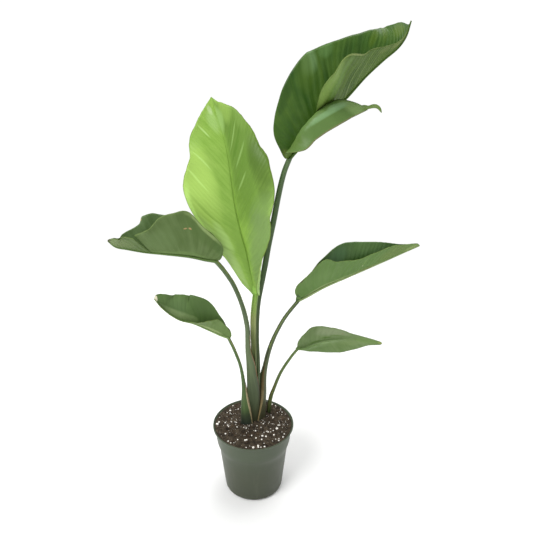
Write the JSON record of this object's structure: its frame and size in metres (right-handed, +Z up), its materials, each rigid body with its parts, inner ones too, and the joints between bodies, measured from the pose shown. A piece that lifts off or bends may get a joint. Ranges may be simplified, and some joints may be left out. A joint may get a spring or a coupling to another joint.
{
  "type": "potted bird of paradise",
  "caption": "Young house plant with a fan of paddle-shaped leaves on long sheathed stalks, growing in a soil-filled tapered nursery pot with a collared rim.",
  "frame": {"origin": "middle of the flat underside of the pot, on the surface it stands on", "axes": "+Z up along the pot's axis, -Y towards the side seen in the picture, +X to the right of that view"},
  "size_m": [0.5619, 0.1946, 0.9051],
  "materials": {
    "pot_plastic": "dark grey-green injection-moulded polypropylene with a soft sheen",
    "potting_soil": "dark brown crumbly potting mix with white perlite grains",
    "leaf_stalk": "smooth waxy blue-green stalk with dry brown sheath margins",
    "leaf": "leathery dark green leaf, glossy above and paler below",
    "young_leaf": "soft light green young leaf with a satin surface"
  },
  "bodies": {
    "root": {"pot": "pot_plastic", "soil": "potting_soil", "petiole_new": "leaf_stalk", "petiole_top_right": "leaf_stalk", "petiole_left_upper": "leaf_stalk", "petiole_right_upper": "leaf_stalk", "petiole_left_lower": "leaf_stalk", "petiole_right_lower": "leaf_stalk", "blade_new": "young_leaf", "blade_top_right": "leaf", "blade_left_upper": "leaf", "blade_right_upper": "leaf", "blade_left_lower": "leaf", "blade_right_lower": "leaf"}
  },
  "joints": []
}
